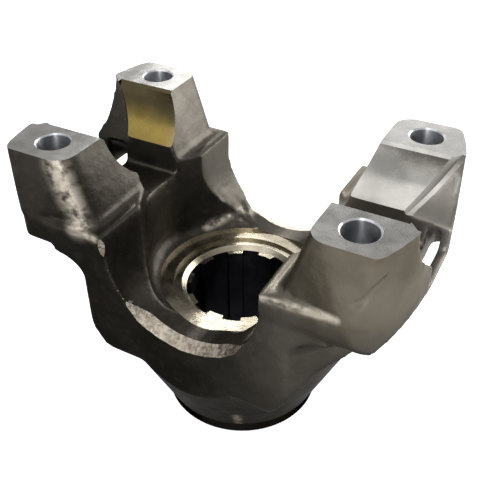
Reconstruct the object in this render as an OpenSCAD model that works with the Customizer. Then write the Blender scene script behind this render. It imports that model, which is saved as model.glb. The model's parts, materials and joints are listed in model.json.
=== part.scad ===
// Half-round end yoke of a universal joint, one steel forging with machined seats.
// Frame: X runs along the bearing cups from ear to ear, Z along the splined bore.
// The origin is on the bore axis at the hub's rear face, and the ears point up.

/* [Overall] */
// Height of the bolt pads above the hub's rear face
pad_h = 136; // [126:1:144]
// Overall length across both ears
ear_span = 172; // [168:1:178]
// Radius of the ears' outer ends, seen from above
end_r = 120; // [110:1:140]
// Distance between the ears at the pads
throat_w = 99; // [94:1:104]
// Depth of the forging at the parting line
part_depth = 105; // [103:1:110]
// Depth of the forging at the pads
pad_depth = 98.5; // [96:0.5:100]
// Depth of the forging at the underside of the ears and the body
foot_depth = 102; // [98:1:104]
// Corner radius of the ears below the parting line, seen from above
ear_corner_r = 13; // [10:0.5:15]

/* [Ears] */
// Drop from the pads to the parting line
parting_drop = 28; // [25:0.5:30]
// Draft on the front and back faces of the bosses
boss_draft = 1.5; // [1:0.5:2.5]
// Lean of the inner faces of the ears, away from upright
inner_lean = 18; // [14:0.5:20]
// Fillet at the foot of the bosses' front and back faces
boss_fillet = 2; // [1:0.1:2.4]
// Fillet at the foot of the ears' inner faces
inner_fillet = 3.5; // [2:0.1:4]
// Corner radius of the pads beside the throat
pad_corner_r = 7; // [4:0.5:9]
// Corner radius of the bosses at the ears' ends, seen from above
boss_corner_r = 10; // [8:0.5:14]
// Drop from the pads to the underside of the ears
ear_drop = 44; // [42:1:48]
// Draft on the ears' ends below the parting line
end_draft = 8; // [4:0.5:10]
// Lower edge radius at the end of an ear
ear_edge_r = 14; // [11:0.5:18]
// Reach of that edge's round beyond the ear's end
ear_edge_reach = 1; // [0.5:0.1:2]
// Lower edge radius along the sides of an ear
ear_side_r = 8; // [4:0.5:12]
// Radius of the hollow under the middle of each ear
pocket_r = 40; // [38:0.5:44]
// Depth of metal between the pads and the top of that hollow
pocket_drop = 30; // [29:0.5:32]
// Wall left between that hollow and the ear's end
pocket_end_wall = 7; // [5:0.5:9]
// Length of that hollow along the ear
pocket_len = 10.5; // [8:0.5:14]

/* [Cup saddles] */
// Diameter of the bearing cup that the saddles hold
cup_d = 49.2; // [47:0.1:50.5]
// Bevel along the mouth of the saddles
saddle_bevel = 1.2; // [0.5:0.1:2]
// Machined length across both saddles at the pads
saddle_span = 155; // [148:1:158]
// Drop from the pads to the axis of the flare at the saddle's outer end
flare_drop = 12; // [9:0.5:15]
// Slope of that flare, away from the cup's axis
flare_slope = 45; // [38:1:52]
// Radius of the forged trough beyond the flare
trough_r = 28; // [27:0.5:30]
// Height of the trough's axis above the pads, level with the bolt holes
trough_rise = 3; // [2:0.5:6]
// Fall of the trough towards the ear's end
trough_fall = 5; // [0:0.5:8]
// Width of the relief slot along the bottom of the saddles
slot_w = 25; // [18:0.5:30]
// Drop from the pads to the floor of the relief slot
slot_drop = 34; // [32:0.5:36]

/* [Bolt holes] */
// How far the bolt holes sit inboard of the middle of their pads
bolt_inset = 0.34; // [0:0.01:1.5]
// Bolt hole spacing across the saddle
bolt_y = 73.8; // [72:0.1:76]
// Bolt hole diameter
bolt_d = 13.5; // [11:0.1:14.5]
// Bevel at the mouth of each bolt hole
bolt_bevel = 0.6; // [0.3:0.1:1]

/* [Body] */
// Radius of the body under the ears
body_r = 67; // [65:0.5:72]
// Drop from the pads to the underside of the body at its sides
body_drop = 66; // [62:0.5:70]
// Drop from the pads to the foot of the body's front and back walls
foot_drop = 93; // [90:0.5:96]
// Lower edge radius of those walls
foot_edge_r = 7; // [4:0.5:10]
// Half width of those walls at their foot
foot_half_w = 38; // [34:0.5:42]
// Slope of the shoulders beside that foot, up from level
shoulder_slope = 56; // [50:0.5:60]
// Radius of the throat, seen from the front
throat_r = 35.5; // [33:0.5:38]
// Drop from the pads to the floor of the throat at its rim
throat_drop = 73; // [71:0.5:75]
// Radius of the round hollow in the middle of the throat
bowl_r = 42; // [40:0.5:44]
// Fillet at the foot of that hollow
bowl_fillet = 8; // [4:0.5:12]

/* [Hub] */
// Radius of the tapered hub level with the foot of the body's walls
hub_r = 53; // [50:0.5:55]
// Taper of the hub, away from upright
hub_taper = 24; // [18:0.5:26]
// Diameter of the turned rim at the hub's rear end
rim_d = 73; // [70:0.5:78]
// Length of that rim
rim_h = 9; // [6:0.5:14]
// Bevel around the rim's rear face
rim_bevel = 2.5; // [1:0.1:4]

/* [Nut seat and spline] */
// Diameter of the machined spot face around the bore
seat_d = 74.4; // [72:0.2:78]
// Drop from the pads to the spot face
seat_drop = 71; // [70:0.5:72]
// Diameter of the sunk nut seat
nut_d = 62; // [60:0.5:66]
// Depth of the nut seat below the spot face
nut_sink = 1.5; // [0.5:0.1:3]
// Major diameter of the spline, at the bottom of its spaces
spline_major = 50.8; // [49:0.1:53]
// Minor diameter of the spline, across its teeth
spline_minor = 46.2; // [44:0.1:48]
// Number of spline teeth
spline_n = 10; // [8:1:12]
// Width of each space between the teeth
space_w = 7.92; // [7:0.02:8.4]
// Bevel at both ends of the spline
spline_bevel = 2; // [1:0.1:3]

/* [Hidden] */
$fn = 80;
eps = 0.5;
cut = 200;
steel = "#4a4540";
lip_r = 2;
part_z = pad_h - parting_drop;
ear_z = pad_h - ear_drop;
seat_z = pad_h - seat_drop;
nut_z = seat_z - nut_sink;
cup_r = cup_d / 2;
foot_z = pad_h - foot_drop;
body_z = pad_h - body_drop;
boss_x = throat_w / 2 - parting_drop * tan(inner_lean);
boss_y = pad_depth / 2 + parting_drop * tan(boss_draft);
throat_z = pad_h - throat_drop + throat_r;
pad_end = ear_span / 2 - end_r + sqrt(end_r * end_r - bolt_y * bolt_y / 4);
bolt_x = throat_w / 2 + pad_end - 2 * bolt_inset;

// The sliver between a corner at x, y and a round of radius r that touches both of its
// edges, which leave the corner at the angles a and b
module corner_piece(x, y, a, b, r, over = eps) {
  half = (b - a) / 2;
  away = r / sin(half);
  reach = r + over;
  translate([x + away * cos(a + half), y + away * sin(a + half)])
    difference() {
      polygon([
        [0, 0],
        [reach * cos(a - 90), reach * sin(a - 90)],
        [-reach / sin(half) * cos(a + half), -reach / sin(half) * sin(a + half)],
        [reach * cos(b + 90), reach * sin(b + 90)]
      ]);
      circle(r = r);
    }
}

module both_sides() {
  children();
  mirror([1, 0]) children();
}

// Extrudes a front view along Y, through the whole depth
module through_depth(depth) {
  translate([0, depth / 2, 0]) rotate([90, 0, 0]) linear_extrude(depth) children();
}

// Extrudes an end view along X, through the whole length
module through_length(length) {
  translate([-length / 2, 0, 0]) rotate([90, 0, 90]) linear_extrude(length) children();
}

// The ears' outline from above, with round ends and a round of radius r at each corner,
// which touches both the end and a side that lies at y
module ear_outline(y, r) {
  side = y - r;
  inner = end_r - r;
  away = sqrt(inner * inner - side * side);
  half = ear_span / 2 - end_r + away;
  reach = 3 * r;
  difference() {
    intersection() {
      translate([ear_span / 2 - end_r, 0]) circle(r = end_r);
      translate([end_r - ear_span / 2, 0]) circle(r = end_r);
    }
    for (sx = [-1, 1])
      for (sy = [-1, 1])
        scale([sx, sy]) translate([half, side])
          difference() {
            polygon([
              [0, 0],
              [0, reach],
              [reach, reach],
              [reach * away / inner, reach * side / inner]
            ]);
            circle(r = r);
          }
  }
}

// The ears seen from the end: bosses standing on a ledge, over a rounded underside
module ear_end_view() {
  foot = foot_depth / 2;
  part_y = part_depth / 2;
  side_slope = atan2(part_z - ear_z, part_y - foot);
  difference() {
    polygon([
      [-foot, ear_z],
      [foot, ear_z],
      [part_y, part_z],
      [boss_y, part_z],
      [pad_depth / 2, pad_h],
      [-pad_depth / 2, pad_h],
      [-boss_y, part_z],
      [-part_y, part_z]
    ]);
    both_sides() corner_piece(foot, ear_z, side_slope, 180, ear_side_r);
  }
  both_sides() corner_piece(boss_y, part_z, 0, 90 + boss_draft, boss_fillet);
}

// The ears seen from the front, with ends that lean in below the parting line to a round edge
module ear_front_view() {
  reach = ear_span / 2 + ear_edge_reach;
  foot = reach - (part_z - ear_z) * tan(end_draft);
  difference() {
    polygon([
      [-foot, ear_z],
      [foot, ear_z],
      [reach, part_z],
      [reach, pad_h],
      [-reach, pad_h],
      [-reach, part_z]
    ]);
    both_sides() corner_piece(foot, ear_z, 90 - end_draft, 180, ear_edge_r);
  }
}

// Rounds the pads' corners beside the throat, along the leaning inner faces
module pad_corners() {
  for (sx = [-1, 1])
    for (sy = [-1, 1])
      scale([sx, sy, 1])
        intersection() {
          translate([throat_w / 2, pad_depth / 2, pad_h])
            rotate([0, inner_lean, 0])
              translate([0, 0, -2 * parting_drop])
                linear_extrude(4 * parting_drop) corner_piece(0, 0, -90, 0, pad_corner_r, pad_h);
          translate([0, 0, part_z]) cube([cut, cut, cut]);
        }
}

module ears() {
  intersection() {
    union() {
      translate([0, 0, ear_z]) linear_extrude(part_z - ear_z) ear_outline(part_depth / 2, ear_corner_r);
      translate([0, 0, part_z - eps])
        linear_extrude(parting_drop + eps) ear_outline((pad_depth / 2 + boss_y) / 2, boss_corner_r);
    }
    through_length(ear_span + 2) ear_end_view();
    through_depth(part_depth + 2) ear_front_view();
  }
}

// The body seen from the front, with shoulders sloping up beside its foot
module body_front_view() {
  shoulder_run = (body_z - foot_z) / tan(shoulder_slope);
  polygon([
    [-foot_half_w, foot_z],
    [foot_half_w, foot_z],
    [foot_half_w + shoulder_run, body_z],
    [body_r + eps, body_z],
    [body_r + eps, part_z],
    [-body_r - eps, part_z],
    [-body_r - eps, body_z],
    [-foot_half_w - shoulder_run, body_z]
  ]);
}

// The body seen from the end, with its two flats
module body_end_view() {
  difference() {
    translate([-foot_depth / 2, foot_z]) square([foot_depth, part_z - foot_z]);
    both_sides() corner_piece(foot_depth / 2, foot_z, 90, 180, foot_edge_r);
  }
}

module body() {
  intersection() {
    translate([0, 0, foot_z]) cylinder(r = body_r, h = part_z - foot_z);
    through_length(2 * body_r + 2) body_end_view();
    through_depth(part_depth + 2) body_front_view();
  }
}

// The hub tapers down from the body and ends in a short turned rim
module hub() {
  rim_r = rim_d / 2;
  top_r = hub_r + (body_z - foot_z) * tan(hub_taper);
  low_r = hub_r - (foot_z - rim_h) * tan(hub_taper);
  intersection() {
    rotate_extrude()
      polygon([
        [0, 0],
        [rim_r - rim_bevel, 0],
        [rim_r, rim_bevel],
        [rim_r, rim_h],
        [low_r, rim_h],
        [top_r, body_z],
        [top_r, body_z + eps],
        [0, body_z + eps]
      ]);
    translate([-cut / 2, -foot_depth / 2, -eps]) cube([cut, foot_depth, body_z + 3 * eps]);
  }
}

// The throat seen from the front: a round bottom, two ledges and two leaning faces
module throat_view() {
  difference() {
    polygon([
      [-throat_r, throat_z],
      [throat_r, throat_z],
      [throat_r, part_z],
      [boss_x, part_z],
      [throat_w / 2 + eps * tan(inner_lean), pad_h + eps],
      [-throat_w / 2 - eps * tan(inner_lean), pad_h + eps],
      [-boss_x, part_z],
      [-throat_r, part_z]
    ]);
    both_sides() corner_piece(boss_x, part_z, 90 - inner_lean, 180, inner_fillet);
  }
  translate([0, throat_z]) circle(r = throat_r);
  both_sides() corner_piece(throat_r, part_z, -90, 0, lip_r);
}

module throat() {
  through_depth(part_depth + 2 * eps) throat_view();
}

module bowl() {
  rotate_extrude()
    difference() {
      translate([0, seat_z]) square([bowl_r, pad_h - seat_z]);
      corner_piece(bowl_r, seat_z, 90, 180, bowl_fillet);
    }
}

module spot_face() {
  translate([0, 0, seat_z]) cylinder(d = seat_d, h = pad_h - seat_z);
  translate([0, 0, nut_z]) cylinder(d = nut_d, h = nut_sink + eps);
}

module spline_bore() {
  space_r = spline_major / 2;
  translate([0, 0, -eps]) {
    cylinder(d = spline_minor, h = nut_z + 2 * eps);
    intersection() {
      cylinder(d = spline_major, h = nut_z + 2 * eps);
      for (i = [0 : spline_n - 1])
        rotate([0, 0, i * 360 / spline_n])
          translate([0, -space_w / 2, 0]) cube([spline_major, space_w, nut_z + 2 * eps]);
    }
  }
  translate([0, 0, nut_z - spline_bevel])
    cylinder(r1 = space_r, r2 = space_r + spline_bevel + eps, h = spline_bevel + eps);
  translate([0, 0, -eps])
    cylinder(r1 = space_r + spline_bevel + eps, r2 = space_r, h = spline_bevel + eps);
}

// Machined half-round seats for the bearing cups, with a bevel along their mouths
module saddles() {
  translate([-saddle_span / 2, 0, pad_h]) rotate([0, 90, 0]) cylinder(r = cup_r, h = saddle_span);
  translate([0, 0, pad_h])
    through_length(saddle_span)
      polygon([
        [-cup_r - saddle_bevel - eps, eps],
        [cup_r + saddle_bevel + eps, eps],
        [cup_r - 2, -saddle_bevel - 2],
        [-cup_r + 2, -saddle_bevel - 2]
      ]);
}

// Forged troughs beyond the seats, reached through a steep flare
module end_troughs() {
  mouth_r = sqrt(cup_r * cup_r + flare_drop * flare_drop);
  flare_in = (mouth_r - 3) / tan(flare_slope);
  flare_out = cup_r;
  for (sx = [-1, 1])
    scale([sx, 1, 1])
      intersection() {
        translate([bolt_x / 2, 0, pad_h + trough_rise])
          rotate([0, 90 + trough_fall, 0])
            translate([0, 0, -cup_r]) cylinder(r = trough_r, h = 3 * cup_r);
        translate([saddle_span / 2 - flare_in, 0, pad_h - flare_drop])
          rotate([0, 90, 0])
            cylinder(r1 = 3, r2 = mouth_r + flare_out * tan(flare_slope), h = flare_in + flare_out);
      }
}

module relief_slot() {
  translate([-cut / 2, -slot_w / 2, pad_h - slot_drop])
    cube([cut, slot_w, slot_drop]);
}

module ear_pockets() {
  x1 = ear_span / 2 - pocket_end_wall;
  for (sx = [-1, 1])
    translate([sx > 0 ? x1 - pocket_len : -x1, 0, pad_h - pocket_drop - pocket_r])
      rotate([0, 90, 0]) cylinder(r = pocket_r, h = pocket_len);
}

module bolt_holes() {
  for (sx = [-1, 1])
    for (sy = [-1, 1])
      translate([sx * bolt_x / 2, sy * bolt_y / 2, 0]) {
        translate([0, 0, ear_z - 2 * eps]) cylinder(d = bolt_d, h = ear_drop + 4 * eps);
        translate([0, 0, pad_h - bolt_bevel])
          cylinder(d1 = bolt_d, d2 = bolt_d + 2 * bolt_bevel + 2 * eps, h = bolt_bevel + eps);
      }
}

module yoke() {
  color(steel)
    difference() {
      union() {
        ears();
        body();
        hub();
      }
      throat();
      pad_corners();
      bowl();
      spot_face();
      spline_bore();
      saddles();
      end_troughs();
      relief_slot();
      ear_pockets();
      bolt_holes();
    }
}

yoke();
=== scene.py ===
# %% [markdown]
# # A forged half-round end yoke
#
# This lesson builds one steel forging: the end yoke of a heavy driveline joint. Two ears carry the
# bearing cups of a cross, and a splined hub slides on the shaft below. The CAD model gives the
# frame, the sizes and the mounts. Here the same form gets the soft edges of a forging, the crisp
# edges of machining, and the finish of each surface.

# %% Load the frame
import bpy
import bmesh
import json
import math
import numpy as np
from mathutils import Matrix, Vector, noise

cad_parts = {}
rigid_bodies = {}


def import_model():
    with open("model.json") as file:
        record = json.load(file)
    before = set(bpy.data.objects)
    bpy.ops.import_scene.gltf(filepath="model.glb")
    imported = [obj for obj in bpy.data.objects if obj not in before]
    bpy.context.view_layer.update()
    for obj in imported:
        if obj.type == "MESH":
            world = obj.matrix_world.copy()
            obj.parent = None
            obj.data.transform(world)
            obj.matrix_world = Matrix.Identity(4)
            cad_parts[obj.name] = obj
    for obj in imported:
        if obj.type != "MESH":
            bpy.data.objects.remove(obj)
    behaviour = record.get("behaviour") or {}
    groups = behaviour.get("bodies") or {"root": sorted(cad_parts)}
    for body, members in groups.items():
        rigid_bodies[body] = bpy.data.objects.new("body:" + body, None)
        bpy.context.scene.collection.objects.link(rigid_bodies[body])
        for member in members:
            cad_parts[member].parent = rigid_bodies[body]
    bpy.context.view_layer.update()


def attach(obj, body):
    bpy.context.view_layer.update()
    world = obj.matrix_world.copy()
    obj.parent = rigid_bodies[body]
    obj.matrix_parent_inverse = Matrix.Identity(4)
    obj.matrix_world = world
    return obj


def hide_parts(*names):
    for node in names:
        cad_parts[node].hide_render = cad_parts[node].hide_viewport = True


for leftover in list(bpy.data.objects):
    bpy.data.objects.remove(leftover)
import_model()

# %% [markdown]
# ## The sizes
#
# A yoke is drawn from its cup axis. The pads lie in the plane of that axis, so every height is
# easiest to read as a drop from the pads. The numbers are in millimetres, and the finished mesh is
# scaled to metres once, at the end. X runs from ear to ear, Y from front to back, Z is up.

# %% The sizes
PAD_H = 136.0           # the pads above the hub's rear face
EAR_END = 86.0          # half the length across both ears
END_R = 120.0           # the gentle curve of the right ear's end, seen from above
LEFT_END_R = 180.0      # the left one, which the photograph shows a little flatter
EAR_Y = 52.5            # half the width of the ears, at the parting line
BOSS_X, BOSS_Y = 49.5, 49.6   # the bosses' faces: beside the throat at the pads, outside at the foot
PART_Z = PAD_H - 28     # the parting line, where the two dies met
EAR_Z = PAD_H - 44      # the underside of the ears
BODY_Z = PAD_H - 66     # the underside of the body at its sides
FOOT_Z = PAD_H - 93     # the foot of the front and back walls
SEAT_Z = PAD_H - 71     # the spot face for the nut
NUT_Z = SEAT_Z - 1.5    # the sunk nut seat
CUP_R = 24.6            # the bearing cups
SEAT_END = 77.5         # how far out their machined seats reach
BOLT_X, BOLT_Y, BOLT_R = 64.5, 36.9, 6.75
THROAT_R = 34.0         # the half round between the ears
THROAT_Z = SEAT_Z + 0.2 + THROAT_R
THROAT_LEAN = 18        # degrees that the bosses' inner faces lean away from the throat
RIM_R, RIM_H = 36.5, 9.0      # the turned rear end of the hub
SLOT_Y = 12.5           # half the width of the relief slot
STOCK = 3.0             # metal left on the pads and the rear face for machining
print("in mm: pads at", PAD_H, "ears", 2 * EAR_END, "by", 2 * EAR_Y, "cups", 2 * CUP_R)

# %% [markdown]
# ## A small workshop
#
# Forgings and machined parts are drawn as outlines that are pushed through the metal or turned
# about an axis. These helpers do the same: `rounded` draws an outline whose corners each have their
# own radius, `pushed` extrudes it along X, Y or Z, and `turned` spins it about Z. Booleans then join,
# keep or cut. The manifold solver is quick and exact on closed meshes, so it suits this work.

# %% Outlines
def rounded(corners, steps=8):
    """The outline through corners, each given as (x, y, radius)."""
    outline = []
    for i, (x, y, radius) in enumerate(corners):
        here = Vector((x, y))
        back = (Vector(corners[i - 1][:2]) - here).normalized()
        ahead = (Vector(corners[(i + 1) % len(corners)][:2]) - here).normalized()
        if radius == 0:
            outline.append((x, y))
            continue
        half = back.angle(ahead) / 2
        centre = here + (back + ahead).normalized() * (radius / math.sin(half))
        start = here + back * (radius / math.tan(half)) - centre
        end = here + ahead * (radius / math.tan(half)) - centre
        first = math.atan2(start.y, start.x)
        turn = (math.atan2(end.y, end.x) - first + math.pi) % (2 * math.pi) - math.pi
        for k in range(steps + 1):
            angle = first + turn * k / steps
            outline.append((centre.x + radius * math.cos(angle), centre.y + radius * math.sin(angle)))
    return outline


def both(half):
    """An outline with its mirror image, from the points on the right, given from the bottom up."""
    return list(half) + [(-x, y, *rest) for x, y, *rest in reversed(half)]


print("a triangle with three rounds:", len(rounded([(0, 0, 1), (9, 0, 1), (0, 9, 1)])), "points")

# %% Solids
def make(name, points, faces):
    """A closed mesh object. Points that fall together are joined, and the faces turned outwards."""
    mesh = bpy.data.meshes.new(name)
    mesh.from_pydata(points, [], faces)
    bm = bmesh.new()
    bm.from_mesh(mesh)
    bmesh.ops.remove_doubles(bm, verts=bm.verts, dist=1e-5)
    bmesh.ops.recalc_face_normals(bm, faces=bm.faces)
    bm.to_mesh(mesh)
    bm.free()
    piece = bpy.data.objects.new(name, mesh)
    bpy.context.scene.collection.objects.link(piece)
    return piece


def pushed(name, outline, low, high, along):
    """An outline pushed along an axis: drawn in (y, z) for X, in (x, z) for Y, in (x, y) for Z."""
    order = {"X": (2, 0, 1), "Y": (0, 2, 1), "Z": (0, 1, 2)}[along]
    count = len(outline)
    points = [tuple((a, b, level)[i] for i in order) for level in (low, high) for a, b in outline]
    faces = [(i, (i + 1) % count, count + (i + 1) % count, count + i) for i in range(count)]
    faces += [tuple(range(count)), tuple(range(count, 2 * count))]
    return make(name, points, faces)


def turned(name, profile, steps=128):
    """A profile of (radius, z) spun about Z. It starts and ends on the axis."""
    inner = profile[1:-1]
    rings = len(inner)
    points = [(0, 0, profile[0][1]), (0, 0, profile[-1][1])]
    for k in range(steps):
        angle = 2 * math.pi * k / steps
        points += [(r * math.cos(angle), r * math.sin(angle), z) for r, z in inner]
    faces = []
    for k in range(steps):
        here, ahead = 2 + k * rings, 2 + (k + 1) % steps * rings
        faces.append((0, ahead, here))
        faces.append((1, here + rings - 1, ahead + rings - 1))
        faces += [(here + i, ahead + i, ahead + i + 1, here + i + 1) for i in range(rings - 1)]
    return make(name, points, faces)


print("outlines can be pushed and turned")

# %% Steps that change a piece
def changed(piece, kind, **settings):
    """Applies one modifier to a piece, so that its mesh is the result."""
    step = piece.modifiers.new(kind, kind)
    for key, value in settings.items():
        setattr(step, key, value)
    ready = piece.evaluated_get(bpy.context.evaluated_depsgraph_get())
    mesh = bpy.data.meshes.new_from_object(ready)
    piece.modifiers.clear()
    piece.data = mesh
    return piece


def worked(piece, operation, tool):
    """Joins, keeps or cuts a piece with a tool, which is used up."""
    changed(piece, "BOOLEAN", operation=operation, object=tool, solver="MANIFOLD")
    bpy.data.objects.remove(tool)
    return piece


def turned_to(piece, matrix):
    """Moves the mesh itself, so that the object stays at the origin."""
    piece.data.transform(matrix)
    return piece


print("pieces can be joined, kept, cut and moved")

# %% [markdown]
# ## The hot forging
#
# The real yoke starts as a billet that is struck between two dies. It leaves them with drafted
# walls, generous rounds and a parting line around its widest edge. The ears come first: three
# outlines, from above, from the end and from the front, each pushed right through, and only the
# metal inside all three is kept. That is also how a die maker reads a drawing.

# %% The ears from above
def tan(degrees):
    return math.tan(math.radians(degrees))


def ear_outline(side, corner):
    """The ears from above: curved ends, and a round at each corner that touches end and side."""
    def quarter(curve):
        middle = EAR_END - curve
        across = math.sqrt((curve - corner) ** 2 - (side - corner) ** 2)
        swing = math.atan2(side - corner, across)
        end = [(middle + curve * math.cos(a), curve * math.sin(a)) for a in np.linspace(0, swing, 16)]
        return end + [(middle + across + corner * math.cos(a), side - corner + corner * math.sin(a))
                      for a in np.linspace(swing, math.pi / 2, 12)[1:]]

    right, left = quarter(END_R), quarter(LEFT_END_R)
    outline = [(x, -y) for x, y in reversed(right[1:])] + right
    return outline + [(-x, y) for x, y in reversed(left)] + [(-x, -y) for x, y in left[1:]]


print("outline of the ears:", len(ear_outline(EAR_Y, 13)), "points")

# %% The ears from three sides
def cheek(side, front):
    """Fills the ledge towards the ear's end, where the photograph shows it fading out."""
    low, high = PART_Z - 1, PAD_H + STOCK
    start, whole, end, deep = 50, 65, 92, 30
    foot = [(start, deep), (end, deep), (end, 52.1), (whole, 52.1), (start, BOSS_Y)]
    brow = [(start, deep), (end, deep), (end, 49.2), (whole, 49.2), (start, 49.2)]
    points = [(side * x, front * y, z) for ring, z in ((foot, low), (brow, high)) for x, y in ring]
    count = len(foot)
    faces = [(i, (i + 1) % count, count + (i + 1) % count, count + i) for i in range(count)]
    faces += [tuple(range(count)), tuple(range(count, 2 * count))]
    outline = pushed("cheek outline", ear_outline(EAR_Y, 11), low, high, "Z")
    return worked(make("cheek", points, faces), "INTERSECT", outline)


def ears():
    """Both ears with their bosses, still joined across the throat."""
    piece = pushed("ears", ear_outline(EAR_Y, 13), EAR_Z, PART_Z, "Z")
    worked(piece, "UNION", pushed("bosses", ear_outline(BOSS_Y, 10), PART_Z - 1, PAD_H + STOCK, "Z"))
    from_end = rounded(both([(51, EAR_Z, 8), (EAR_Y, PART_Z, 0.8), (50, PART_Z, 2),
                             (49.2, PAD_H + STOCK, 0)]))
    worked(piece, "INTERSECT", pushed("end view", from_end, -120, 120, "X"))
    for side in (-1, 1):
        for front in (-1, 1):
            worked(piece, "UNION", cheek(side, front))
    end, top, fall = EAR_END + 1, PAD_H + STOCK, PART_Z - EAR_Z
    right_lean, left_lean = 8, 2
    from_front = rounded([(end - fall * tan(right_lean), EAR_Z, 14), (end, PART_Z, 0), (end, top, 0),
                          (-end, top, 0), (-end, PART_Z, 0), (-end + fall * tan(left_lean), EAR_Z, 19)])
    return worked(piece, "INTERSECT", pushed("front view", from_front, -70, 70, "Y"))


forging = ears()
print("ears:", len(forging.data.vertices), "vertices")

# %% [markdown]
# ## The body and the hub
#
# Below the ears the metal gathers into a round body with two flats, whose front and back walls
# reach down in sloping shoulders. The hub is a taper that was drawn out of the die, so it is turned
# here as one profile.

# %% The body and the hub
def body():
    """The round body, with a fillet where it meets the underside of the ears."""
    wall, fillet = 69, 10
    curve = [(wall + fillet - fillet * math.cos(a), EAR_Z - fillet + fillet * math.sin(a))
             for a in np.linspace(0, math.pi / 2, 12)]
    piece = turned("body", [(0, FOOT_Z), (wall, FOOT_Z), *curve, (wall + fillet + 1, EAR_Z + 1),
                            (wall, PART_Z), (0, PART_Z)])
    from_end = rounded(both([(51, FOOT_Z, 7), (51, PART_Z, 0)]))
    worked(piece, "INTERSECT", pushed("end view", from_end, -90, 90, "X"))
    foot, past = 38, 84
    shoulder = foot + (BODY_Z - FOOT_Z) / tan(56)
    from_front = rounded(both([(foot, FOOT_Z, 6), (shoulder, BODY_Z, 8), (past, BODY_Z, 0),
                               (past, PART_Z, 0)]))
    return worked(piece, "INTERSECT", pushed("front view", from_front, -60, 60, "Y"))


def hub():
    """The tapered hub, from its rear end up into the body."""
    slope, neck = tan(24), 53
    top, low = neck + (BODY_Z - FOOT_Z) * slope, neck - (FOOT_Z - RIM_H) * slope
    piece = turned("hub", [(0, -STOCK), (RIM_R + 1, -STOCK), (RIM_R + 1, RIM_H), (low, RIM_H),
                           (top, BODY_Z), (top, BODY_Z + 1), (0, BODY_Z + 1)])
    return worked(piece, "INTERSECT", pushed("flats", both([(80, -10), (80, 80)]), -51, 51, "Y"))


worked(forging, "UNION", body())
worked(forging, "UNION", hub())
print("with body and hub:", len(forging.data.vertices), "vertices")

# %% [markdown]
# ## What the upper die pressed in
#
# The throat between the ears is a half round with two ledges and two leaning faces. In its floor
# lies a round bowl for the nut. Each ear has a trough for the cup, a relief slot along the floor of
# the trough, and a hollow below that makes it lighter. Where the hollow meets the slot, daylight
# shows through.

# %% The throat
def throat():
    """The half round, with a ledge at the parting line and the leaning faces of the bosses above."""
    centre, radius = THROAT_Z, THROAT_R
    lean = tan(THROAT_LEAN)
    over = 4
    floor = [(radius * math.sin(a), centre - radius * math.cos(a))
             for a in np.linspace(0.02, math.pi / 2, 32)]
    upper = rounded([(radius, centre, 0), (radius, PART_Z, 0.1),
                     (BOSS_X - (PAD_H - PART_Z) * lean, PART_Z, 3.5),
                     (BOSS_X + over * lean, PAD_H + over, 0), (0, PAD_H + over, 0)])
    half = floor + [p for p in upper if p[0] > radius - 0.01 and p[1] > centre + 0.1]
    return pushed("throat", both(half), -60, 60, "Y")


def pad_corner(side, front, radius=8.0):
    """What is rounded off the corner of a boss beside the throat. It leans with the inner face."""
    x, y = BOSS_X, BOSS_Y
    arc = [(x + radius - radius * math.cos(a), y - radius + radius * math.sin(a))
           for a in np.linspace(0, math.pi / 2, 16)]
    outline = [(x - 2, y - radius), *arc, (x + radius, y + 4), (x - 2, y + 4)]
    piece = pushed("corner", outline, PART_Z + 0.4, PAD_H + STOCK + 1, "Z")
    shear = Matrix.Identity(4)
    shear[0][2], shear[0][3] = tan(THROAT_LEAN), -PAD_H * tan(THROAT_LEAN)
    turned_to(piece, Matrix.Diagonal((side, front, 1, 1)) @ shear)
    if side * front < 0:
        piece.data.flip_normals()
    return piece


worked(forging, "DIFFERENCE", throat())
for side in (-1, 1):
    for front in (-1, 1):
        worked(forging, "DIFFERENCE", pad_corner(side, front))
print("with the throat:", len(forging.data.vertices), "vertices")

# %% The bowl, the troughs and the hollows
def bowl():
    """Room for the nut. Its floor keeps some stock, which the facing tool takes off later."""
    wall, floor, over = 42, SEAT_Z + 1.2, PAD_H + 5
    return turned("bowl", rounded([(0, floor, 0), (wall, floor, 8), (wall, over, 0), (0, over, 0)]))


def trough(side, radius=28.0):
    """A round channel for a bearing cup. It falls by 5 degrees towards the ear's end."""
    piece = turned("trough", [(0, -25), (radius, -25), (radius, 60), (0, 60)])
    tip = Matrix.Rotation(math.radians(side * 95), 4, "Y")
    return turned_to(piece, Matrix.Translation((side * BOLT_X, 0, PAD_H + 3)) @ tip)


def flare(side, shift=0.0):
    """The cone that a turning tool leaves at the outer end of a cup's seat."""
    drop, tip_r = 12, 3
    mouth = math.hypot(CUP_R, drop)
    start = SEAT_END - (mouth - tip_r) + shift
    length = mouth - tip_r + CUP_R
    piece = turned("flare", [(0, 0), (tip_r, 0), (mouth + CUP_R, length), (0, length)])
    tip = Matrix.Rotation(side * math.pi / 2, 4, "Y")
    return turned_to(piece, Matrix.Translation((side * start, 0, PAD_H - drop)) @ tip)


def slot():
    """The relief slot, which runs along both ears."""
    return pushed("slot", both([(SLOT_Y, PAD_H - 34), (SLOT_Y, PAD_H + 5)]), -120, 120, "X")


def hollow(side):
    """An arch that is pressed into an ear from below. It meets the slot and lets daylight through."""
    radius, centre = 30, PAD_H - 52.5
    ring = [(radius * math.cos(a), centre + radius * math.sin(a))
            for a in np.linspace(0, 2 * math.pi, 97)[:-1]]
    # The right one is narrower and lies further out, as its daylight in the photograph shows.
    low, high = (-78.5, -69.0) if side < 0 else (76.0, 81.0)
    return pushed("hollow", ring, low, high, "X")


worked(forging, "DIFFERENCE", bowl())
worked(forging, "DIFFERENCE", slot())
for side in (-1, 1):
    worked(forging, "DIFFERENCE", worked(trough(side), "INTERSECT", flare(side, 1.5)))
    worked(forging, "DIFFERENCE", hollow(side))
print("pressed:", len(forging.data.vertices), "vertices")

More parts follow.
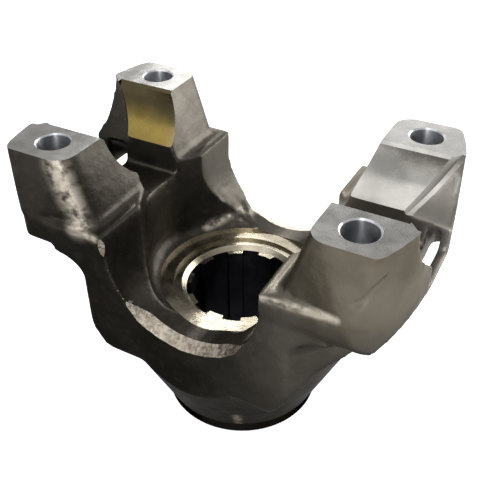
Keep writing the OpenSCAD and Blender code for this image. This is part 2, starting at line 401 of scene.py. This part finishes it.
# %% [markdown]
# ## Soft edges all over
#
# Hot metal doesn't fill a sharp corner, so every edge of a forging is round. A bevel on each edge
# would break where many meet. Instead the form is remeshed in small even voxels, and smoothed,
# which rounds every edge and fills every inner corner at once.

# %% Soft edges
VOXEL = 1.15            # small enough for the narrowest ledge, large enough to stay quick
ROUNDS = 6              # of smoothing: more would wash out the ledges

changed(forging, "REMESH", mode="VOXEL", voxel_size=VOXEL, adaptivity=0.0)
changed(forging, "SMOOTH", factor=0.5, iterations=ROUNDS)
print("soft forging:", len(forging.data.polygons), "faces")

# %% [markdown]
# ## The skin of a forging
#
# A die wears, scale flakes off, and the trimmed flash leaves torn metal. So the skin waves gently
# everywhere, is lumpy at the back of the bowl, is ragged along the parting line, and has one fold
# in the front of the right ear. All of this is real relief, so the points themselves move inwards
# along their normals. `noise` gives the same value for the same place each time.

# %% Waves and smooth steps
def wave(place, size, shift=0.0):
    """Smooth noise from 0 to 1, with waves about size millimetres long."""
    return 0.5 + 0.5 * noise.noise(Vector((place[0] / size + shift, place[1] / size, place[2] / size)))


def near_line(x, z, line):
    """The distance in the front face from a line of points."""
    best = 99.0
    for (x0, z0), (x1, z1) in zip(line, line[1:]):
        share = ((x - x0) * (x1 - x0) + (z - z0) * (z1 - z0)) / ((x1 - x0) ** 2 + (z1 - z0) ** 2)
        share = min(max(share, 0), 1)
        best = min(best, math.hypot(x - x0 - share * (x1 - x0), z - z0 - share * (z1 - z0)))
    return best


def fade(value, full, none):
    """1 at full, 0 at none, and smooth between."""
    share = min(max((value - none) / (full - none), 0), 1)
    return share * share * (3 - 2 * share)


print("halfway along a fade:", fade(5, 0, 10))

# %% The skin
FOLD = [(70.0, 117.0), (72.5, 119.5), (75.6, 124.1), (79.3, 128.0)]      # x and z on the front face


def relief(x, y, z):
    """How far a point moves inwards, in mm: waves all over, then lumps, ragged edges and the fold."""
    place = (x, y, z)
    depth = 0.16 * wave(place, 16) + 0.07 * wave(place, 5, 7)
    lumps = fade(math.hypot(x + 22, y - 34), 14, 24) * fade(z, 68, 65) * fade(z, 80, 90)
    depth += 0.75 * lumps * wave(place, 3.6, 3)
    rim = fade(abs(y), 51, 47) * fade(math.hypot(x, z - THROAT_Z), 37, 41) * fade(z, 98, 104)
    ledge = fade(abs(z - PART_Z), 1.5, 4) * fade(abs(y), 50.5, 47) * fade(abs(x), 60, 70)
    depth += 0.5 * max(rim, ledge) * wave(place, 3.2, 11)
    if y < -44 and x > 60:
        away = near_line(x, z, FOLD)
        depth += 0.8 * fade(away, 0.2, 2.2)
    return depth


def skinned(piece):
    """Moves every point inwards along its normal by its relief."""
    mesh = piece.data
    count = len(mesh.vertices)
    places, normals = np.empty(3 * count), np.empty(3 * count)
    mesh.vertices.foreach_get("co", places)
    mesh.vertex_normals.foreach_get("vector", normals)
    places, normals = places.reshape(-1, 3), normals.reshape(-1, 3)
    depths = np.array([relief(*place) for place in places])
    mesh.vertices.foreach_set("co", (places - normals * depths[:, None]).ravel())
    mesh.update()
    print("relief up to", round(float(depths.max()), 2), "mm")


skinned(forging)

# %% [markdown]
# ## Machining
#
# Now the tools come in, in the order of a real routing: trim the flash, mill the pads, bore and
# flare the cup seats, drill the bolt holes, face the nut seat, bore and broach the spline, and turn
# the rear end of the hub. Each cut leaves a crisp edge and its own finish, so each tool carries a
# material that the boolean hands to the new surface. The exact solver is slower than the manifold
# one, but it can do that.

# %% Finishes to fill in later
FINISHES = ["forged", "trimmed", "milled", "bored", "flared", "drilled", "faced", "broached", "rimmed"]
finish = {name: bpy.data.materials.new(name) for name in FINISHES}


def with_finish(piece, name):
    piece.data.materials.clear()
    piece.data.materials.append(finish[name])
    return piece


def machined(tool, name):
    """Cuts the forging with a tool, which is used up. The new surface takes the named finish."""
    changed(forging, "BOOLEAN", operation="DIFFERENCE", object=with_finish(tool, name),
            solver="EXACT", material_mode="TRANSFER")
    bpy.data.objects.remove(tool)


with_finish(forging, "forged")
print("finishes to come:", len(finish))

# %% [markdown]
# ## The trimmed edges
#
# Flash is the thin metal that squeezes out between the dies. A trimming press shears it off, and
# leaves a slanted band of torn steel along the rim of the throat and a torn edge on each ledge.
# Both are cut with closed tools of a few faces, because no simple outline widens and fades so.

# %% The trimmed edges
def land(way):
    """The slanted band along the rim of the throat: wide at the bottom, a thin line up the legs."""
    near_r, far_r, far_y = 34.05, 38.2, 56
    start, later = 44.6, 5.0
    inner, outer = [], []
    for angle in np.linspace(-math.pi / 2, math.pi / 2, 65):
        across, down = math.sin(angle), -math.cos(angle)
        y = start + later * fade(abs(math.degrees(angle)), 56, 30)
        inner.append((near_r * across, way * y, THROAT_Z + near_r * down))
        outer.append((far_r * across, way * far_y, THROAT_Z + far_r * down))
    for ring, radius, y in ((inner, near_r, start + later), (outer, far_r, far_y)):
        ring.insert(0, (-radius, way * y, PART_Z + 2))
        ring.append((radius, way * y, PART_Z + 2))
    hubs = [(0, way * 44, THROAT_Z), (0, way * far_y, THROAT_Z)]
    count = len(inner)
    faces = [(i, (i + 1) % count, count + (i + 1) % count, count + i) for i in range(count)]
    faces += [(i, (i + 1) % count, 2 * count) for i in range(count)]
    faces += [(count + i, count + (i + 1) % count, 2 * count + 1) for i in range(count)]
    return make("land", inner + outer + hubs, faces)


def shear(side, way):
    """The torn edge of a ledge, deep beside the throat and gone towards the ear's end."""
    points = []
    for x, depth in ((THROAT_R - 1, 2.0), (47, 1.1), (56, -0.8)):
        points += [(side * x, way * (50.5 - depth), PART_Z + 2), (side * x, way * 56, PART_Z + 2),
                   (side * x, way * 56, PART_Z - 1.5 - depth)]
    faces = [(0, 1, 2), (6, 7, 8)]
    for k in (0, 3):
        faces += [(k + i, k + (i + 1) % 3, k + 3 + (i + 1) % 3, k + 3 + i) for i in range(3)]
    return make("shear", points, faces)


for way in (-1, 1):
    machined(land(way), "trimmed")
    for side in (-1, 1):
        machined(shear(side, way), "trimmed")
print("flash trimmed:", len(forging.data.polygons), "faces")

# %% [markdown]
# ## The pads and the cup seats
#
# A face mill takes the pads down to one plane. A line borer then cuts both half-round seats in one
# pass, so that they share an axis, and a bevel keeps the straps from biting into the edge. The
# flare is the slanted step where the seat gives way to the rougher trough.

# %% The pads and the cup seats
def along_x(piece):
    """Lays a turned tool along the cup axis."""
    return turned_to(piece, Matrix.Translation((0, 0, PAD_H)) @ Matrix.Rotation(math.pi / 2, 4, "Y"))


BEVEL = 1.2
machined(pushed("mill", both([(100, PAD_H), (100, PAD_H + 20)]), -80, 80, "Y"), "milled")
borer = turned("borer", [(0, -SEAT_END), (CUP_R, -SEAT_END), (CUP_R, SEAT_END), (0, SEAT_END)], 192)
machined(along_x(borer), "bored")
bevel = both([(CUP_R - 2, PAD_H - BEVEL - 2), (CUP_R + BEVEL + 1, PAD_H + 1)])
machined(pushed("beveller", bevel, -SEAT_END, SEAT_END, "X"), "bored")
for side in (-1, 1):
    step = worked(flare(side), "DIFFERENCE", flare(side, 2.4))
    machined(worked(trough(side, 28.3), "INTERSECT", step), "flared")
print("seats bored:", len(forging.data.polygons), "faces")

# %% [markdown]
# ## The bolt holes
#
# Four clearance holes take the bolts of the two straps. One tool makes the hole and the small
# chamfer at its mouth, as a stepped drill does.

# %% The bolt holes
CHAMFER = 1.6
for x in (-BOLT_X, BOLT_X):
    for y in (-BOLT_Y, BOLT_Y):
        drill = turned("drill", [(0, EAR_Z - 1.5), (BOLT_R, EAR_Z - 1.5), (BOLT_R, PAD_H - 0.6),
                                 (BOLT_R + CHAMFER, PAD_H + 1), (0, PAD_H + 1)], 96)
        machined(turned_to(drill, Matrix.Translation((x, y, 0))), "drilled")
print("drilled:", len(forging.data.polygons), "faces")

# %% [markdown]
# ## The nut seat and the spline
#
# The spot face is turned first, then the nut seat sunk into it. A broach is pulled through the bore
# and cuts all ten spaces at once, which is why their sides are straight and parallel.

# %% The nut seat and the spline
MAJOR_R, MINOR_R, TOOTH_W, TEETH = 25.4, 23.1, 7.92, 10
SPOT_R, NUT_R = 37.2, 31.0


def round_points(radius, angles):
    return [(radius * math.cos(a), radius * math.sin(a)) for a in angles]


def spline_outline():
    """Ten straight-sided spaces around a bore. Each space has parallel sides."""
    outline = []
    wide, narrow = math.asin(TOOTH_W / 2 / MAJOR_R), math.asin(TOOTH_W / 2 / MINOR_R)
    turn = 2 * math.pi / TEETH
    for k in range(TEETH):
        outline += round_points(MAJOR_R, turn * k + np.linspace(-wide, wide, 5))
        outline += round_points(MINOR_R, turn * k + np.linspace(narrow, turn - narrow, 7))
    return outline


spot_face = turned("spot face", [(0, SEAT_Z), (SPOT_R, SEAT_Z), (SPOT_R, PAD_H), (0, PAD_H)])
nut_seat = turned("nut seat", [(0, NUT_Z), (NUT_R, NUT_Z), (NUT_R, SEAT_Z + 1), (0, SEAT_Z + 1)])
machined(spot_face, "faced")
machined(nut_seat, "faced")
machined(pushed("broach", spline_outline(), -STOCK - 5, NUT_Z + 1, "Z"), "broached")
for z, way in ((NUT_Z, 1), (0, -1)):
    cone = [(0, z - 2 * way), (MAJOR_R, z - 2 * way), (MAJOR_R + 3, z + way), (0, z + way)]
    machined(turned("chamfer", cone), "faced")
print("spline broached:", len(forging.data.polygons), "faces")

# %% [markdown]
# ## The rear end of the hub
#
# The face that meets the shaft's shoulder is turned flat, and a short cylinder beside it is turned
# to size, with a chamfer, for an oil seal or a slinger.

# %% The rear end of the hub
machined(pushed("facing", both([(100, -20), (100, 0)]), -80, 80, "Y"), "rimmed")
ring = turned("outside", [(0, -1), (60, -1), (60, RIM_H), (0, RIM_H)])
inside = turned("inside", [(0, -2), (RIM_R - 4.5, -2), (RIM_R, 2.5), (RIM_R, RIM_H + 2), (0, RIM_H + 2)])
machined(worked(ring, "DIFFERENCE", inside), "rimmed")
print("hub turned:", len(forging.data.polygons), "faces", [m.name for m in forging.data.materials])

# %% [markdown]
# ## The finished piece
#
# The mesh is scaled to metres and takes the place of the CAD solid. Faces are shaded smooth, and
# edges that turn by more than 30 degrees stay crisp.

# %% The finished piece
forging.name = "yoke_forging"
forging.data.name = "yoke_forging"
forging.data.transform(Matrix.Scale(0.001, 4))
forging.data.shade_smooth()
forging.data.set_sharp_from_angle(angle=math.radians(30))
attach(forging, "root")
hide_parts("yoke")
forging.data.calc_loop_triangles()
print("triangles:", len(forging.data.loop_triangles))

# %% [markdown]
# ## The finishes
#
# Steel is seen by what it mirrors, so each finish is a metal with its own colour, gloss and fine
# relief. Small helpers keep each recipe short: `node` adds a node, sets its plain values and links
# the rest, and the others are steps that every recipe needs. All patterns are placed by object
# coordinates, which are metres on this piece, so a noise of scale 300 has grains about 3 mm long.

# %% Graph helpers
def opened(name):
    """The node tree of a finish."""
    finish[name].use_nodes = True
    return finish[name].node_tree


def node(tree, kind, **settings):
    """Adds a node. Each setting is one of its own, or a socket by name, or by number as i0, i1."""
    made = tree.nodes.new("ShaderNode" + kind)
    for key, value in settings.items():
        if hasattr(made, key):
            setattr(made, key, value)
            continue
        by_number = key[0] == "i" and key[1:].isdigit()
        socket = made.inputs[int(key[1:]) if by_number else key]
        if isinstance(value, bpy.types.NodeSocket):
            tree.links.new(value, socket)
        else:
            socket.default_value = value
    return made


def sums(tree, kind, a, b):
    """One step of arithmetic, or of a comparison."""
    return node(tree, "Math", operation=kind, i0=a, i1=b).outputs[0]


def vectors(tree, kind, a, **more):
    """One step of vector maths. A length or a dot product comes out as a number."""
    outputs = node(tree, "VectorMath", operation=kind, i0=a, **more).outputs
    return outputs["Value"] if kind in ("LENGTH", "DOT_PRODUCT") else outputs["Vector"]


print("nodes and sums ready")

# %% Places, patterns and colours
def position(tree):
    return node(tree, "TexCoord").outputs["Object"]


def placed(tree):
    """The position as three numbers, by "X", "Y" and "Z"."""
    return node(tree, "SeparateXYZ", Vector=position(tree)).outputs


def spots(tree, scale, detail=3.0, rough=0.55):
    """Noise from 0 to 1 in object space."""
    return node(tree, "TexNoise", Vector=position(tree), Scale=scale, Detail=detail,
                Roughness=rough).outputs["Fac"]


def spread(tree, value, low, high, to_low=0.0, to_high=1.0):
    """Stretches a value smoothly from one range to another, and stops at its ends."""
    made = node(tree, "MapRange", Value=value, interpolation_type="SMOOTHSTEP")
    for socket, number in (("From Min", low), ("From Max", high), ("To Min", to_low), ("To Max", to_high)):
        made.inputs[socket].default_value = number
    return made.outputs["Result"]


def blend(tree, share, first, second):
    """A colour between two, by share."""
    made = node(tree, "Mix", data_type="RGBA")
    for index, value in ((0, share), (6, first), (7, second)):
        if isinstance(value, bpy.types.NodeSocket):
            tree.links.new(value, made.inputs[index])
        else:
            made.inputs[index].default_value = value if index == 0 else (*value, 1)
    return made.outputs[2]


print("patterns and colours ready")

# %% [markdown]
# ## Recipes for steel
#
# A metal in Principled needs a colour, a roughness and a normal. `relieved` stacks bumps, `near`
# finds the places along a line between two points, and `apart` measures from a tool's axis.
# `grooves` turns such a distance into tool marks, which is how milled arcs, bored rings and turned
# rings are all made.

# %% Recipes for steel
def relieved(tree, layers):
    """Bumps stacked on each other: each layer is a height, its depth in metres and its strength."""
    normal = None
    for height, depth, strength in layers:
        made = node(tree, "Bump", Height=height, Distance=depth, Strength=strength)
        if normal:
            tree.links.new(normal, made.inputs["Normal"])
        normal = made.outputs["Normal"]
    return normal


def steel(tree, colour, rough, normal, metal=1.0):
    shader = tree.nodes["Principled BSDF"]
    shader.inputs["Metallic"].default_value = metal
    for key, value in (("Base Color", colour), ("Roughness", rough), ("Normal", normal)):
        tree.links.new(value, shader.inputs[key])
    return shader


def coated(tree, share, coat):
    """Lays a second colour over the finish that is already there."""
    base = tree.nodes["Principled BSDF"].inputs["Base Color"]
    tree.links.new(blend(tree, share, base.links[0].from_socket, coat), base)


print("metal and its coats ready")

# %% Worn lines and tool marks
def near(tree, first, last, reach):
    """A share that is 1 on the line between two points in mm and falls to 0 at a reach from it."""
    first, last, reach = Vector(first) / 1000, Vector(last) / 1000, reach / 1000
    line = last - first
    moved = vectors(tree, "SUBTRACT", position(tree), i1=tuple(first))
    share = vectors(tree, "DOT_PRODUCT", moved, i1=tuple(line / line.length_squared))
    share = sums(tree, "MINIMUM", sums(tree, "MAXIMUM", share, 0.0), 1.0)
    foot = vectors(tree, "SCALE", tuple(line), Scale=share)
    return spread(tree, vectors(tree, "LENGTH", vectors(tree, "SUBTRACT", moved, i1=foot)), reach, 0.0)


def apart(tree, axes, centre=(0, 0, 0)):
    """The distance in metres from a centre, counted only along the axes that are 1."""
    moved = vectors(tree, "SUBTRACT", position(tree), i1=centre)
    return vectors(tree, "LENGTH", vectors(tree, "MULTIPLY", moved, i1=axes))


def grooves(tree, distance, pitch):
    """Tool marks: a wave of a distance, made uneven by a little noise."""
    uneven = sums(tree, "MULTIPLY", spots(tree, 90, 2), pitch * 1.5)
    phase = sums(tree, "MULTIPLY", sums(tree, "ADD", distance, uneven), 2 * math.pi / pitch)
    return spread(tree, node(tree, "Math", operation="SINE", i0=phase).outputs[0], -1, 1)


print("worn lines and tool marks ready")

# %% Machined steel
STAIN = (0.10, 0.09, 0.07)


def machined_steel(tree, marks, depth, dull, bright, rough, cut=0.20):
    """Bare steel from dull to bright, with thin stains and tool marks of a depth in metres."""
    colour = blend(tree, spread(tree, spots(tree, 70, 4), 0.3, 0.7), dull, bright)
    colour = blend(tree, spread(tree, spots(tree, 130, 5, 0.65), 0.60, 0.78, 0.0, 0.25), colour, STAIN)
    colour = blend(tree, sums(tree, "MULTIPLY", marks, 0.18), colour, dull)
    gloss = spread(tree, spots(tree, 160, 3), 0.3, 0.7, rough - 0.04, rough + 0.07)
    uneven = (spots(tree, 45, 2), 0.0010, 0.10)
    return steel(tree, colour, gloss, relieved(tree, [uneven, (marks, depth, cut)]))


print("recipe for machined steel ready")

# %% [markdown]
# ## The forged skin
#
# Scale and oil make it dark. It isn't one colour: it is painted with shade low on the hub and on the
# left side, oily grey further up, brown with rust on the right front boss, and pale at the back of the
# right ear, where a painted sheen from the back light lies on drier, rougher scale. Patches of a
# centimetre or two mottle all of them. One slanted measure, which rises towards the light at the top
# right back, runs through these zones in that order.
#
# Edges that stand out are bare steel, partly rubbed and partly a painted highlight on the rounds,
# and Pointiness finds them. Longer lines between two places on the skin are worn ledge edges and
# painted highlights: a streak down the corner of the left front boss, one down the hub, and glints
# on the lumpy rim behind the bowl.

# %% The forged skin
WORN_AND_GLINTS = [((-54, -49, 135), (-46, -50, 109), 8.5),        # a painted highlight down the corner of the left front boss
        ((-46, -50, 109), (-38, -52, 107), 3.2),        # the tip of the ledge below it
        ((36, -52.5, 107), (64, -51, 108.4), 2.8),      # the edge of the right front ledge
        ((18.5, -39, 20), (16.5, -33, 3), 3.4),         # a painted highlight streak down the hub
        ((-33, 24, 67.5), (-24, 38, 71), 4.0),          # painted glints on the lumpy rim behind the bowl
        ((-24, 38, 71), (-14, 50, 67), 4.0)]
BARE_AND_GLINT = (0.40, 0.36, 0.30)

tree = opened("forged")
place = placed(tree)
# The slanted measure rises towards the light at the top right back; painted shade and sheen follow it.
toward_light = sums(tree, "ADD", place["Z"], sums(tree, "MULTIPLY", place["Y"], 0.5))
toward_light = sums(tree, "ADD", place["X"], toward_light)
patches = spread(tree, spots(tree, 48, 3, 0.5), 0.32, 0.70)
# The darkest tone is painted shade, low on the hub and on the left side.
shaded_tone = blend(tree, patches, (0.015, 0.013, 0.010), (0.024, 0.021, 0.017))
oiled = blend(tree, patches, (0.050, 0.045, 0.037), (0.076, 0.069, 0.058))
rusty = blend(tree, patches, (0.078, 0.067, 0.048), (0.122, 0.107, 0.083))
# The palest tone is a painted sheen from the back light at the back of the right ear.
lit_dry_scale = blend(tree, patches, (0.11, 0.102, 0.092), (0.165, 0.154, 0.14))
rust = sums(tree, "MULTIPLY", spread(tree, toward_light, 0.11, 0.15), spread(tree, place["Z"], 0.092, 0.112))
dry_and_lit = sums(tree, "MULTIPLY", spread(tree, toward_light, 0.14, 0.20), spread(tree, place["Y"], -0.025, 0.005))
colour = blend(tree, spread(tree, toward_light, 0.03, 0.10), shaded_tone, oiled)
colour = blend(tree, rust, colour, rusty)
colour = blend(tree, dry_and_lit, colour, lit_dry_scale)
print("skin colours:", len(tree.nodes), "nodes")

# %% Peel, wear, painted highlights and gloss of the forged skin
peel = spots(tree, 240, 3)
grain = spots(tree, 1500, 2)
colour = blend(tree, spread(tree, peel, 0.50, 0.80, 0.0, 0.15), colour, (0.105, 0.095, 0.082))
# Standing edges get bare steel: partly rubbed, partly a painted highlight on the rounds.
edge = spread(tree, node(tree, "NewGeometry").outputs["Pointiness"], 0.53, 0.60)
rubbed_and_glinting = sums(tree, "MULTIPLY", edge, spread(tree, spots(tree, 190, 3), 0.42, 0.64))
# Bare steel along the listed lines: worn ledge edges, and painted highlights and glints.
scuffs_and_glints = near(tree, *WORN_AND_GLINTS[0])
for mark in WORN_AND_GLINTS[1:]:
    scuffs_and_glints = sums(tree, "MAXIMUM", scuffs_and_glints, near(tree, *mark))
scuffs_and_glints = sums(tree, "MULTIPLY", scuffs_and_glints, spread(tree, spots(tree, 200, 4), 0.30, 0.60))
colour = blend(tree, sums(tree, "MAXIMUM", rubbed_and_glinting, scuffs_and_glints), colour, BARE_AND_GLINT)
rough = spread(tree, spots(tree, 110, 3), 0.3, 0.7, 0.27, 0.36)
rough = sums(tree, "ADD", rough, spread(tree, dry_and_lit, 0, 1, 0.0, 0.12))
rough = sums(tree, "SUBTRACT", rough, sums(tree, "MULTIPLY", scuffs_and_glints, 0.06))
shader = steel(tree, colour, rough, relieved(tree, [(peel, 0.0006, 0.28), (grain, 0.00008, 0.12)]), 0.7)
shader.inputs["Specular Tint"].default_value = (0.40, 0.38, 0.35, 1)
print("forged skin:", len(tree.nodes), "nodes,", len(WORN_AND_GLINTS), "worn lines")

# %% [markdown]
# ## The torn steel of the trimmed edges
#
# Shearing leaves bright, rough metal with small pits. Voronoi cells make the pits, and a noise with
# many octaves makes the torn grain between them.

# %% The torn steel
tree = opened("trimmed")
cells = node(tree, "TexVoronoi", Vector=position(tree), Scale=300.0).outputs["Distance"]
pits = sums(tree, "MAXIMUM", spread(tree, cells, 0.10, 0.22), spread(tree, spots(tree, 150, 2), 0.42, 0.50))
torn = spots(tree, 380, 5, 0.7)
colour = blend(tree, spread(tree, torn, 0.35, 0.65), (0.23, 0.198, 0.158), (0.48, 0.432, 0.364))
colour = blend(tree, pits, (0.10, 0.08, 0.06), colour)
rough = spread(tree, torn, 0.3, 0.7, 0.26, 0.46)
steel(tree, colour, rough, relieved(tree, [(torn, 0.0010, 0.6), (pits, 0.0004, 0.5)]))
print("torn steel:", len(tree.nodes), "nodes")

# %% [markdown]
# ## The milled pads and the bored seats
#
# A face mill leaves wide arcs on the pads, so their marks are rings round a far centre. Boring
# leaves fine rings round the cup axis, which are a wave of X. In the left ear's back seat a golden
# reflection is painted in: dark olive high up, gold low down where the seat turns to face up.

# %% The milled pads
tree = opened("milled")
arcs = apart(tree, (1, 1, 0), (0.02, -0.09, 0))
machined_steel(tree, grooves(tree, arcs, 0.0011), 0.00004,
               (0.150, 0.146, 0.137), (0.215, 0.210, 0.198), 0.24)
print("pads: arcs 1.1 mm apart")

# %% The bored seats, with a painted golden reflection
tree = opened("bored")
place = placed(tree)
machined_steel(tree, grooves(tree, place["X"], 0.0005), 0.00002,
               (0.26, 0.252, 0.235), (0.36, 0.35, 0.33), 0.26)
# A painted golden reflection in the left ear's back seat: dark olive high up, gold low down.
left, behind = spread(tree, place["X"], -0.03, -0.05), spread(tree, place["Y"], 0.002, 0.010)
wavy = sums(tree, "ADD", place["Z"], sums(tree, "MULTIPLY", spots(tree, 60, 2), 0.012))
golden_reflection = blend(tree, spread(tree, wavy, 0.134, 0.120), (0.065, 0.052, 0.027), (0.24, 0.175, 0.048))
coated(tree, sums(tree, "MULTIPLY", left, behind), golden_reflection)
print("seats: rings 0.5 mm apart")

# %% [markdown]
# ## The flares, the holes and the turned faces
#
# The flares are darker on the left, as painted shade, and lighter on the right. A drill leaves fine
# rings, which spread a highlight up and down the hole. Anisotropy along Z does the same without
# modelling them.
# The turned faces carry rings round the shaft, and the broach leaves lines along it. The bore is
# nearly black: dark oiled steel, darkened further by painted shade deep in the bore.

# %% The flares and the holes
tree = opened("flared")
round_cup = apart(tree, (0, 1, 1), (0, 0, 0.124))
machined_steel(tree, grooves(tree, round_cup, 0.0008), 0.00006,
               (0.26, 0.25, 0.235), (0.35, 0.335, 0.31), 0.34)
# Painted shade: the flare of the left ear is darker.
coated(tree, spread(tree, placed(tree)["X"], 0.03, -0.02), (0.055, 0.050, 0.040))

tree = opened("drilled")
shader = machined_steel(tree, grooves(tree, placed(tree)["Z"], 0.0006), 0.00002,
                        (0.36, 0.37, 0.39), (0.48, 0.49, 0.51), 0.34, cut=0.3)
shader.inputs["Anisotropic"].default_value = 0.85
tree.links.new(node(tree, "CombineXYZ", Z=1.0).outputs[0], shader.inputs["Tangent"])
print("flares and holes finished")

# %% The turned faces and the broached bore
tree = opened("faced")
machined_steel(tree, grooves(tree, apart(tree, (1, 1, 0)), 0.0010), 0.00006,
               (0.19, 0.168, 0.125), (0.33, 0.298, 0.235), 0.25)

tree = opened("broached")
place = placed(tree)
around = node(tree, "Math", operation="ARCTAN2", i0=place["Y"], i1=place["X"]).outputs[0]
# Nearly black: dark oiled steel, darkened further by painted shade deep in the bore.
machined_steel(tree, grooves(tree, sums(tree, "MULTIPLY", around, 0.024), 0.0006), 0.00004,
               (0.026, 0.025, 0.030), (0.050, 0.048, 0.056), 0.40)

tree = opened("rimmed")
# Nearly black: dark oiled steel, darkened further by painted shade low on the hub by the floor.
shader = machined_steel(tree, grooves(tree, apart(tree, (1, 1, 0)), 0.0010), 0.00006,
                        (0.020, 0.018, 0.016), (0.034, 0.031, 0.027), 0.26)
shader.inputs["Specular Tint"].default_value = (0.30, 0.28, 0.26, 1)
print("finishes:", ", ".join(FINISHES))

# %% [markdown]
# ## The camera
#
# Its place, direction and focal length were fitted to the holes, pads, seats and bore that show in
# the photograph. Three angles say it plainly: yaw to the right of the front, pitch down, and a
# slight roll.

# %% The camera
YAW, PITCH, ROLL = math.radians(28.99), math.radians(36.09), math.radians(-0.48)
EYE = Vector((0.1200, -0.2179, 0.2676))
PICTURE = 480           # pixels across the picture
FOCAL = 701.1           # the focal length in those pixels
SENSOR = 36


def look(yaw, pitch, roll):
    """The camera's rotation. It looks along its own -Z, so `back` points from the yoke to the eye."""
    back = Vector((math.sin(yaw) * math.cos(pitch), -math.cos(yaw) * math.cos(pitch), math.sin(pitch)))
    right = Vector((math.cos(yaw), math.sin(yaw), 0))
    up = back.cross(right)
    tipped = right * math.cos(roll) + up * math.sin(roll)
    return Matrix((tipped, up * math.cos(roll) - right * math.sin(roll), back)).transposed()


camera_data = bpy.data.cameras.new("camera")
camera_data.sensor_width = SENSOR
camera_data.lens = FOCAL * SENSOR / PICTURE
camera_data.clip_start = 0.01
camera = bpy.data.objects.new("camera", camera_data)
camera.matrix_world = Matrix.Translation(EYE) @ look(YAW, PITCH, ROLL).to_4x4()
bpy.context.scene.collection.objects.link(camera)
bpy.context.scene.camera = camera
print("lens", round(camera_data.lens, 1), "mm")

# %% [markdown]
# ## The floor
#
# The yoke stands on white paper. Light Path lets the paper look white to the camera and in the
# steel, while as a light it gives back only what falls on it. Steel also mirrors the dim part of
# the floor that lies in the yoke's own shade, so for mirrored rays the paper is darker there.

# %% The floor
PAPER = 0.75            # how bright the paper looks by itself
REACH = 6


def seen(tree):
    """What kind of ray asks, and 1 where it is one that shows the surroundings."""
    path = node(tree, "LightPath").outputs
    shown = sums(tree, "MAXIMUM", path["Is Camera Ray"], path["Is Glossy Ray"])
    return path, sums(tree, "MAXIMUM", shown, path["Is Transmission Ray"])


floor_mesh = bpy.data.meshes.new("floor")
corners = [(-REACH, -REACH, 0), (REACH, -REACH, 0), (REACH, REACH, 0), (-REACH, REACH, 0)]
floor_mesh.from_pydata(corners, [], [(0, 1, 2, 3)])
floor = bpy.data.objects.new("floor", floor_mesh)
bpy.context.scene.collection.objects.link(floor)
paper = bpy.data.materials.new("floor paper")
paper.use_nodes = True
tree = paper.node_tree
shader = tree.nodes["Principled BSDF"]
shader.inputs["Roughness"].default_value = 0.9
path, shown = seen(tree)
front_left = spread(tree, apart(tree, (1, 1, 0), (-0.14, -0.11, 0)), 0.12, 0.20, 0.06, 1.0)
beside = spread(tree, apart(tree, (1, 1, 0), (0.03, -0.02, 0)), 0.09, 0.15, 0.22, 1.0)
shade = sums(tree, "MINIMUM", front_left, beside)
dim = sums(tree, "MAXIMUM", shade, sums(tree, "SUBTRACT", 1.0, path["Is Glossy Ray"]))
tree.links.new(blend(tree, dim, (0.08, 0.08, 0.08), (0.8, 0.8, 0.8)), shader.inputs["Base Color"])
level = sums(tree, "MULTIPLY", sums(tree, "MULTIPLY", shown, dim), PAPER)
shader.inputs["Emission Color"].default_value = (1, 1, 1, 1)
tree.links.new(level, shader.inputs["Emission Strength"])
floor.data.materials.append(paper)
print("floor laid,", 2 * REACH, "m across")

# %% [markdown]
# ## The light
#
# The room is white to the camera and in the steel, and weak as a light. Two wide windows behind the
# yoke give the pads their sheen, a broad one overhead fills the seats, a narrow one at the front
# draws lines down the rounds, and a small one catches the ring round the bore.

# %% The light
ROOM = 0.35             # how strongly the room lights the yoke
SOFTBOXES = {           # azimuth and height in degrees, distance, size in metres, power
    "back window left": (-11, 14, 1.2, (1.07, 0.74), 6.5),
    "back window right": (30, 12, 1.2, (1.00, 0.74), 16),
    "overhead": (197, 62, 1.1, (1.0, 1.0), 3.8),
    "front key": (160, 22, 1.1, (0.26, 0.80), 7),
    "ring light": (-36, 38, 1.2, (0.16, 0.16), 3.2),
}


def softbox(name, azimuth, height, distance, size, power):
    """A soft light at an azimuth from +Y towards +X, aimed at the middle of the yoke."""
    lamp = bpy.data.lights.new(name, "AREA")
    lamp.shape = "RECTANGLE"
    lamp.size, lamp.size_y = size
    lamp.energy = power
    piece = bpy.data.objects.new(name, lamp)
    angle, rise = math.radians(azimuth), math.radians(height)
    away = Vector((math.sin(angle) * math.cos(rise), math.cos(angle) * math.cos(rise), math.sin(rise)))
    piece.location = Vector((0, 0, 0.08)) + away * distance
    piece.rotation_euler = away.to_track_quat("Z", "Y").to_euler()
    bpy.context.scene.collection.objects.link(piece)


world = bpy.data.worlds.new("studio")
bpy.context.scene.world = world
world.use_nodes = True
background = world.node_tree.nodes["Background"]
background.inputs["Color"].default_value = (1, 1, 1, 1)
path, shown = seen(world.node_tree)
room = spread(world.node_tree, shown, 0, 1, ROOM, 1.0)
world.node_tree.links.new(room, background.inputs["Strength"])
for name, setting in SOFTBOXES.items():
    softbox(name, *setting)
print("lights:", ", ".join(SOFTBOXES))

# %% [markdown]
# ## Finish
#
# The picture uses the Standard view transform.

# %% Finish
bpy.context.scene.view_settings.view_transform = "Standard"
